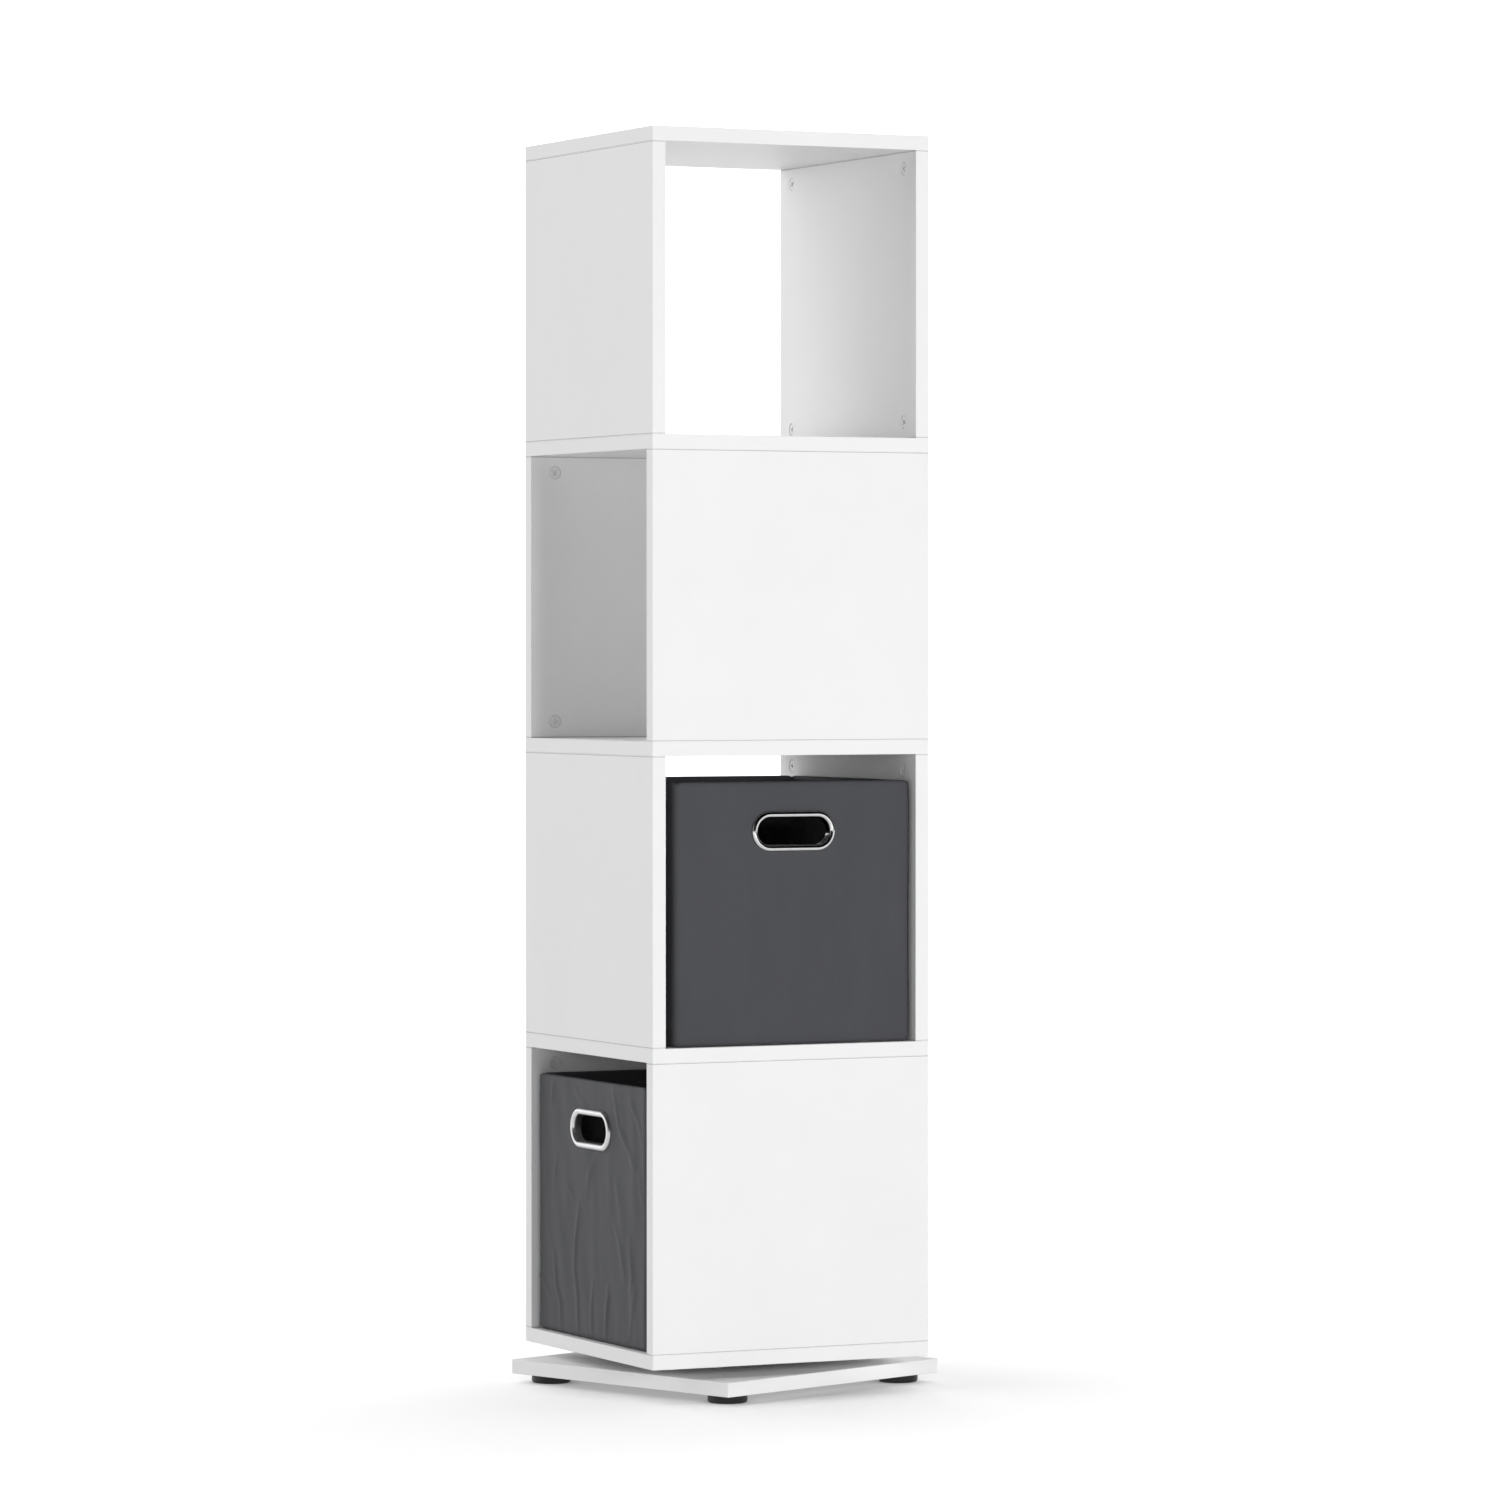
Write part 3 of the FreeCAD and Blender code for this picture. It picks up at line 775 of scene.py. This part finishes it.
def cut_cloth(piece, box, start):
    """Shape keys: the cloth as it starts, rippled and creased, and its wider cut, which it is at rest in."""
    facts = BOXES[box.name]
    bottom, top = min(p.z for p in start), max(p.z for p in start)
    piece.shape_key_add(name="as cut", from_mix=False)
    wide = piece.shape_key_add(name="wide", from_mix=False)
    basis = piece.data.shape_keys.key_blocks["as cut"]
    for i, p in enumerate(start):
        spare = facts["spare"] * (1.0 - SPARE_LOSS * (p.z - bottom) / (top - bottom))
        way = outward(p, box)
        crease = Vector()
        if way.y < -FRONT_FACING:
            crease = way * sum(crease_rise(p, box, one) for one in facts["creases"])
        spot = Vector(((p.x + p.y) * RIPPLE_ACROSS + p.z * RIPPLE_SLANT, p.z * RIPPLE_UP, facts["seed"]))
        basis.data[i].co = p + way * (noise.noise(spot) * RIPPLE_HEIGHT + RIPPLE_LIFT) + crease
        wide.data[i].co = Vector((p.x * (1 + spare), p.y * (1 + spare), p.z)) + crease
    return wide


def run_cloth(piece, wide):
    """Runs the cloth and returns where its vertices come to lie."""
    cloth = piece.modifiers.new("cloth", "CLOTH")
    for name, value in CLOTH.items():
        setattr(cloth.settings, name, value)
    cloth.settings.vertex_group_mass = "held"
    cloth.settings.rest_shape_key = wide
    cloth.settings.effector_weights.gravity = 0
    cloth.point_cache.frame_start = 1
    cloth.point_cache.frame_end = SIM_FRAMES
    scene = bpy.context.scene
    for number in range(1, SIM_FRAMES + 1):
        scene.frame_set(number)
    folded = piece.evaluated_get(bpy.context.evaluated_depsgraph_get())
    after = [vertex.co.copy() for vertex in folded.data.vertices]
    piece.modifiers.remove(cloth)
    piece.shape_key_clear()
    scene.frame_set(1)
    return after


def eased_rise(rise, proud):
    """Height of a fold, eased off towards the most that it may stand out or sink in."""
    most = proud if rise > 0 else FOLD_DEEPEST
    return most * math.tanh(rise / most)


def fold_cloth(piece, box):
    """The cover is cut a little wide and creased, so between rim, floor, corners and ring it folds."""
    start = [vertex.co.copy() for vertex in piece.data.vertices]
    hold_cloth(piece, box, start)
    after = run_cloth(piece, cut_cloth(piece, box, start))
    front_proud = BOXES[box.name]["proud"]
    for vertex, p, q in zip(piece.data.vertices, start, after):
        way = outward(p, box)
        rise = (q - p).dot(way)
        proud = front_proud if way.y < -FRONT_FACING else min(SIDE_PROUD, front_proud)
        vertex.co = q - way * (rise - eased_rise(rise, proud))


def drop_rim_corners(piece, box):
    """Lowers the rim a little round the corners, between the wall boards, where only cloth holds it up.

    Angles are taken at a point two corner radii in from both walls, from the diagonal to the corner's ends.
    """
    corner_half = math.pi / 4 - math.atan(0.5)
    for vertex in piece.data.vertices:
        x, y, z = vertex.co
        off_x, off_y = abs(x) - box.width / 2 + 2 * BOX_CORNER, abs(y) - box.depth / 2 + 2 * BOX_CORNER
        up = 1 - (box.height - z) / RIM_CORNER_DEPTH
        if off_x > 0 and off_y > 0 and up > 0:
            round_corner = max(0.0, 1 - abs(math.atan2(off_y, off_x) - math.pi / 4) / corner_half)
            vertex.co.z -= RIM_CORNER_DROP * math.sin(math.pi / 2 * round_corner) ** 2 * up


def cover(box):
    """Outer cloth: folded walls, floor, rim turned over the wall and a hem inside."""
    rim = box.height - RIM_ROUND
    squares = BOXES[box.name]["squares"]
    piece = open_walls(box.name + "_fabric_cover", box.width, box.depth, FLOOR_ROUND, rim, squares)
    open_hand_hole(piece, box)
    fold_cloth(piece, box)
    edit(piece, "EDGE")
    select("edges", lambda m: abs(m.z - rim) < SAME_PLACE)
    turn = [math.radians(angle) for angle in range(RIM_STEP_DEG, 180 + RIM_STEP_DEG, RIM_STEP_DEG)]
    over = [(RIM_ROUND * (1 - math.cos(a)), rim + RIM_ROUND * math.sin(a)) for a in turn]
    hem = [(2 * RIM_ROUND, rim - HEM_DEPTH * row / HEM_ROWS) for row in range(1, HEM_ROWS + 1)]
    draw_edge(box.width, box.depth, rim, over + hem)
    select("edges", lambda m: abs(m.z - FLOOR_ROUND) < SAME_PLACE)
    draw_edge(box.width, box.depth, FLOOR_ROUND, [(FLOOR_BEVEL, FLOOR_BEVEL), (FLOOR_ROUND, 0.0)])
    bpy.ops.mesh.edge_face_add()
    leave_edit()
    drop_rim_corners(piece, box)
    close_up(piece)
    applied(piece, "SOLIDIFY", "cloth thickness", thickness=CLOTH_THICKNESS, offset=-1)
    finish_box_piece(piece, box, "box_fabric", smooth_deg=60, replaced="cover")


def lining(box):
    """Inner cloth: walls up to the hem, a stitched-in floor and a hand hole."""
    width, depth = box.width - 2 * WALL, box.depth - 2 * WALL
    top = box.height - RIM_ROUND - HEM_DEPTH / HEM_ROWS
    piece = open_walls(box.name + "_inner_lining", width, depth, LINING_LEVEL, top, (LINING_SQUARES,) * 4)
    open_hand_hole(piece, box)
    for vertex in piece.data.vertices:
        spot = vertex.co * LINING_SWAYS_PER_M + Vector((0, 0, BOXES[box.name]["seed"]))
        sway = noise.noise(spot) * LINING_SWAY * min(1, (top - vertex.co.z) / LINING_HELD_DEPTH)
        vertex.co -= outward(vertex.co, box) * abs(sway)
    edit(piece, "EDGE")
    select("edges", lambda m: abs(m.z - LINING_LEVEL) < SAME_PLACE)
    steps = [(inset, LINING_LEVEL + rise) for inset, rise in LINING_FLOOR]
    draw_edge(width, depth, LINING_LEVEL, steps)
    bpy.ops.mesh.edge_face_add()
    leave_edit()
    close_up(piece)
    applied(piece, "SOLIDIFY", "lining thickness", thickness=LINING_THICKNESS, offset=1)
    finish_box_piece(piece, box, "box_lining", smooth_deg=60, replaced="lining")


def hand_ring(box):
    """Half-round ring with a neck: its section is spun round each end and drawn along each run."""
    outer = box.ring_height / 2
    hole = outer - RING_FLANGE
    proud = box.face - box.ring_front
    neck = box.ring_back - box.face
    section_middle = outer - RING_FLANGE / 2 + box.ring_middle
    piece = added(
        box.name + "_chrome_ring",
        bpy.ops.mesh.primitive_circle_add,
        vertices=RING_SECTION_POINTS,
        radius=1,
        location=(box.ring_run, box.face, section_middle),
        rotation=(0, math.pi / 2, 0),
    )
    bpy.ops.object.transform_apply(location=False, rotation=True, scale=False)
    piece.scale = (1, proud, RING_FLANGE / 2)
    bpy.ops.object.transform_apply(location=True, rotation=True, scale=True)
    edit(piece)
    select("verts", lambda m: m.y > box.face + SAME_PLACE)
    bpy.ops.mesh.delete(type="VERT")
    inside = box.ring_middle + hole
    select("verts", lambda m: abs(m.z - inside) < SAME_PLACE)
    for step in ((0, neck, 0), (0, 0, RING_NECK), (0, -neck, 0)):
        bpy.ops.mesh.extrude_region_move(TRANSFORM_OT_translate={"value": step})
    select("verts", lambda m: abs(m.y - box.face) < SAME_PLACE and m.z > inside + RING_NECK / 2)
    bpy.ops.mesh.edge_face_add()
    bpy.ops.mesh.select_mode(type="EDGE")
    bpy.ops.mesh.select_all(action="SELECT")
    for side in (1, -1):
        centre = (side * box.ring_run, box.face, box.ring_middle)
        bpy.ops.mesh.spin(steps=RING_END_STEPS, angle=-math.pi, center=centre, axis=(0, 1, 0))
        run = (-side * 2 * box.ring_run, 0, 0)
        bpy.ops.mesh.extrude_region_move(TRANSFORM_OT_translate={"value": run})
    leave_edit()
    close_up(piece, RING_MERGE_DISTANCE)
    finish = BOXES[box.name]["ring"]
    finish_box_piece(piece, box, finish, smooth_deg=40, replaced="hand_ring")


def stitch():
    """One stitch along X over the origin: a short thread whose ends turn down into the cloth."""
    piece = added(
        "stitch",
        bpy.ops.mesh.primitive_cylinder_add,
        vertices=STITCH_SIDES,
        radius=STITCH_RADIUS,
        depth=STITCH_LENGTH,
        rotation=(0, math.pi / 2, 0),
    )
    bpy.ops.object.transform_apply(location=True, rotation=True, scale=True)
    edit(piece, "FACE")
    select("faces", lambda m: abs(m.x) > STITCH_LENGTH / 2 - SAME_PLACE)
    bpy.ops.mesh.inset(thickness=STITCH_RADIUS * STITCH_END_INSET, depth=STITCH_RADIUS * STITCH_END_LENGTH)
    bpy.ops.transform.translate(value=(0, 0, -STITCH_RADIUS))
    leave_edit()
    close_up(piece)
    return piece


def joined(model, places, name):
    """One piece of copies of a model, each with its own mesh, at the given placements."""
    copies = []
    for place in places:
        copy = model.copy()
        copy.data = model.data.copy()
        bpy.context.scene.collection.objects.link(copy)
        copy.matrix_world = place
        copies.append(copy)
    bpy.data.objects.remove(model)
    deselect()
    for copy in copies:
        copy.select_set(True)
    bpy.context.view_layer.objects.active = copies[0]
    bpy.ops.object.transform_apply(location=True, rotation=True, scale=True)
    bpy.ops.object.join()
    copies[0].name = name
    copies[0].data.name = name
    return copies[0]


def stitch_places(box):
    """Placements of the stitches on the hem's inside, wall by wall."""
    level = box.height - RIM_ROUND - HEM_DEPTH + STITCH_FROM_EDGE
    to_inside = Matrix.Rotation(-math.pi / 2, 4, "X")
    for wall in range(4):
        run, across = (box.width, box.depth) if wall % 2 == 0 else (box.depth, box.width)
        count = int((run - 2 * STITCH_END_CLEARANCE) / STITCH_PITCH)
        for number in range(count):
            along = (number - (count - 1) / 2) * STITCH_PITCH
            place = Matrix.Translation((along, 2 * RIM_ROUND - across / 2, level))
            yield Matrix.Rotation(wall * math.pi / 2, 4, "Z") @ place @ to_inside


def hem_stitches(box):
    piece = joined(stitch(), stitch_places(box), box.name + "_hem_stitches")
    finish_box_piece(piece, box, "hem_thread", smooth_deg=50)


def finish_box_piece(piece, box, finish, smooth_deg, replaced=None):
    """Smooths a piece, sets it in its box, gives it its finish and body, and hides the node that it replaces.
    """
    smooth(piece, smooth_deg)
    box.set_in_place(piece)
    piece.data.materials.clear()
    piece.data.materials.append(MATERIALS[finish])
    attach(piece, box.name)
    if replaced:
        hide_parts(box.name + "_" + replaced)


for box_name in BOXES:
    one_box = Box(box_name)
    cover(one_box)
    lining(one_box)
    hand_ring(one_box)
    hem_stitches(one_box)


# Cam locks


def cam_lock():
    """One cam lock, its face up at the origin: chamfered rim, shallow dish and cross recess."""
    piece = added(
        "cam_lock",
        bpy.ops.mesh.primitive_cylinder_add,
        vertices=CAM_SIDES,
        radius=CAM_RADIUS,
        depth=CAM_DEPTH,
        location=(0, 0, -CAM_DEPTH / 2),
    )
    bpy.ops.object.transform_apply(location=True, rotation=True, scale=True)
    edit(piece, "FACE")
    select("faces", lambda m: m.z > -SAME_PLACE)
    bpy.ops.mesh.inset(thickness=CAM_CHAMFER, depth=0)
    edit(piece, "EDGE")
    rim = CAM_RADIUS - CAM_CHAMFER / 2
    select("edges", lambda m: m.z > -SAME_PLACE and math.hypot(m.x, m.y) > rim)
    bpy.ops.transform.translate(value=(0, 0, -CAM_CHAMFER))
    edit(piece, "FACE")
    select("faces", lambda m: m.z > -SAME_PLACE)
    bpy.ops.mesh.inset(thickness=CAM_RIM, depth=0)
    bpy.ops.mesh.inset(thickness=CAM_DISH, depth=-CAM_DISH)

    def in_dish(m):
        return abs(m.z + CAM_DISH) < SAME_PLACE and math.hypot(m.x, m.y) < rim * DISH_REACH

    for along in ((1, 0, 0), (0, 1, 0)):
        for cut in (-CROSS_HALF_LENGTH, -CROSS_HALF_WIDTH, CROSS_HALF_WIDTH, CROSS_HALF_LENGTH):
            select("faces", in_dish)
            place = [axis * cut for axis in along]
            bpy.ops.mesh.bisect(plane_co=place, plane_no=along)
    bpy.ops.mesh.select_mode(type="FACE")

    def in_cross(m):
        narrow, wide = sorted((abs(m.x), abs(m.y)))
        in_plane = abs(m.z + CAM_DISH) < SAME_PLACE
        return in_plane and narrow < CROSS_HALF_WIDTH and wide < CROSS_HALF_LENGTH

    select("faces", in_cross)
    bpy.ops.mesh.extrude_region_move(TRANSFORM_OT_translate={"value": (0, 0, -CROSS_DEPTH)})
    bpy.ops.transform.resize(value=(CROSS_TAPER, CROSS_TAPER, 1), center_override=(0, 0, -CROSS_DEPTH))
    leave_edit()
    close_up(piece)
    return piece


def cam_places():
    """Middle of each cam's face and the turn that faces it into its compartment, from the panels' boxes."""
    for name in NODES:
        if not name.endswith("_panel"):
            continue
        low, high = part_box(name)
        span = high - low
        levels = (low.z + CAM_EDGE_DISTANCE, high.z - CAM_EDGE_DISTANCE)
        if span.x < span.y:
            inner, way = (low.x, -1) if low.x > 0 else (high.x, 1)
            for y in (low.y + CAM_SIDE_INSET, high.y - CAM_SIDE_INSET):
                for z in levels:
                    yield Vector((inner - way * CAM_SETBACK, y, z)), Vector((way, 0, 0))
        else:
            inner, way = (low.y, -1) if low.y > 0 else (high.y, 1)
            for x in (low.x + CAM_SIDE_INSET, high.x - CAM_SIDE_INSET):
                for z in levels:
                    yield Vector((x, inner - way * CAM_SETBACK, z)), Vector((0, way, 0))


def cam_locks():
    places = []
    for number, (place, way) in enumerate(cam_places()):
        spin = Matrix.Rotation(CAM_FIRST_TURN + CAM_NEXT_TURN * number, 4, "Z")
        places.append(Matrix.Translation(place) @ way.to_track_quat("Z", "Y").to_matrix().to_4x4() @ spin)
    piece = joined(cam_lock(), places, "cam_lock_faces")
    smooth(piece, angle_deg=30)
    piece.data.materials.clear()
    piece.data.materials.append(MATERIALS["cam_face"])
    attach(piece, "tower")
    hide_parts("cam_locks")


cam_locks()


# Camera, floor and light


def camera():
    data = bpy.data.cameras.new("camera")
    data.lens = LENS_MM
    eye = bpy.data.objects.new("camera", data)
    bpy.context.scene.collection.objects.link(eye)
    eye.location = CAMERA_PLACE
    down = math.radians(90 - CAMERA_DOWN_DEG)
    eye.rotation_euler = (down, 0, -math.radians(CAMERA_HEADING_DEG))
    bpy.context.scene.camera = eye


def pale_floor():
    """Floor that catches shadows and glows white further out; its glow is painted light, kept weak to paint
    shade on the tower's left and left out under the base to paint a contact shadow.
    """
    plane = added("floor", bpy.ops.mesh.primitive_plane_add, size=FLOOR_SIZE)
    made, tree, shader = material("floor")
    shader.inputs["Base Color"].default_value = (0.9, 0.9, 0.9, 1)
    shader.inputs["Roughness"].default_value = 0.9
    shader.inputs["Specular IOR Level"].default_value = 0.1
    place = node(tree, "ShaderNodeTexCoord")
    # Painted shade on the floor: its glow is weakest round the shade middle on the tower's left and none
    # under the base
    distance = node(tree, "ShaderNodeVectorMath", operation="DISTANCE")
    distance.inputs[1].default_value = FLOOR_PAINTED_SHADE_MIDDLE
    glow_out_of_painted_shade = ranged(tree, (FLOOR_PAINTED_SHADE_RADIUS, FLOOR_WHITE_RADIUS), (FLOOR_GLOW, FLOOR_FAR_GLOW))
    from_axis = node(tree, "ShaderNodeVectorMath", operation="LENGTH")
    glow_past_painted_shade = soft_range(tree, FLOOR_PAINTED_SHADE_UNDER_BASE)
    tree.links.new(place.outputs["Object"], distance.inputs[0])
    tree.links.new(place.outputs["Object"], from_axis.inputs[0])
    linked(tree, distance, "Value", glow_out_of_painted_shade, "Value")
    linked(tree, from_axis, "Value", glow_past_painted_shade, "Value")
    linked(tree, glow_out_of_painted_shade, "Result", glow_past_painted_shade, "To Max")
    shader.inputs["Emission Color"].default_value = (1, 1, 1, 1)
    linked(tree, glow_past_painted_shade, "Result", shader, "Emission Strength")
    plane.data.materials.append(made)
    plane.visible_diffuse = False


def area_light(name, place, target, size, power):
    data = bpy.data.lights.new(name, "AREA")
    data.shape = "SQUARE"
    data.size = size
    data.energy = power
    lamp = bpy.data.objects.new(name, data)
    bpy.context.scene.collection.objects.link(lamp)
    lamp.location = place
    lamp.visible_glossy = False
    lamp.rotation_euler = (Vector(target) - Vector(place)).to_track_quat("-Z", "Y").to_euler()


def studio():
    """White backdrop behind, a dim room in front, a pale ground below and soft lamps from the front.

    In reflections, as on the chrome, the room is dark overhead.
    """
    world = bpy.data.worlds.new("studio")
    bpy.context.scene.world = world
    world.use_nodes = True
    tree = world.node_tree
    room = tree.nodes["Background"]
    way = node(tree, "ShaderNodeTexCoord")
    turned = node(tree, "ShaderNodeMapping")
    turned.inputs["Rotation"].default_value = (0, 0, -math.radians(ROOM_TURN_DEG))
    parts = node(tree, "ShaderNodeSeparateXYZ")
    front_to_back = soft_range(tree, (ROOM_DARK_TO, ROOM_BRIGHT_FROM), (ROOM_FRONT, ROOM_BACK))
    ground = soft_range(tree, (GROUND_TO, GROUND_FADES_AT), (ROOM_BELOW, 1.0))
    overhead = soft_range(tree, (OVERHEAD_FROM, OVERHEAD_TO), (1.0, OVERHEAD_SHARE))
    rays = node(tree, "ShaderNodeLightPath")
    in_reflections = node(tree, "ShaderNodeMix", data_type="FLOAT", A=1.0)
    strength = node(tree, "ShaderNodeMath", operation="MULTIPLY")
    linked(tree, way, "Generated", turned, "Vector")
    linked(tree, turned, "Vector", parts, "Vector")
    linked(tree, parts, "Y", front_to_back, "Value")
    linked(tree, parts, "Z", ground, "Value")
    linked(tree, front_to_back, "Result", ground, "To Max")
    linked(tree, parts, "Z", overhead, "Value")
    linked(tree, rays, "Is Glossy Ray", in_reflections, "Factor")
    linked(tree, overhead, "Result", in_reflections, "B")
    tree.links.new(ground.outputs["Result"], strength.inputs[0])
    tree.links.new(in_reflections.outputs["Result"], strength.inputs[1])
    linked(tree, strength, "Value", room, "Strength")
    room.inputs["Color"].default_value = (1, 1, 1, 1)
    area_light("front lamp", LAMP_PLACE, LAMP_TARGET, LAMP_SIZE, LAMP_POWER)
    area_light("fill lamp", FILL_PLACE, LAMP_TARGET, FILL_SIZE, FILL_POWER)
    bpy.context.scene.view_settings.view_transform = "Standard"


camera()
pale_floor()
studio()

bpy.context.view_layer.update()
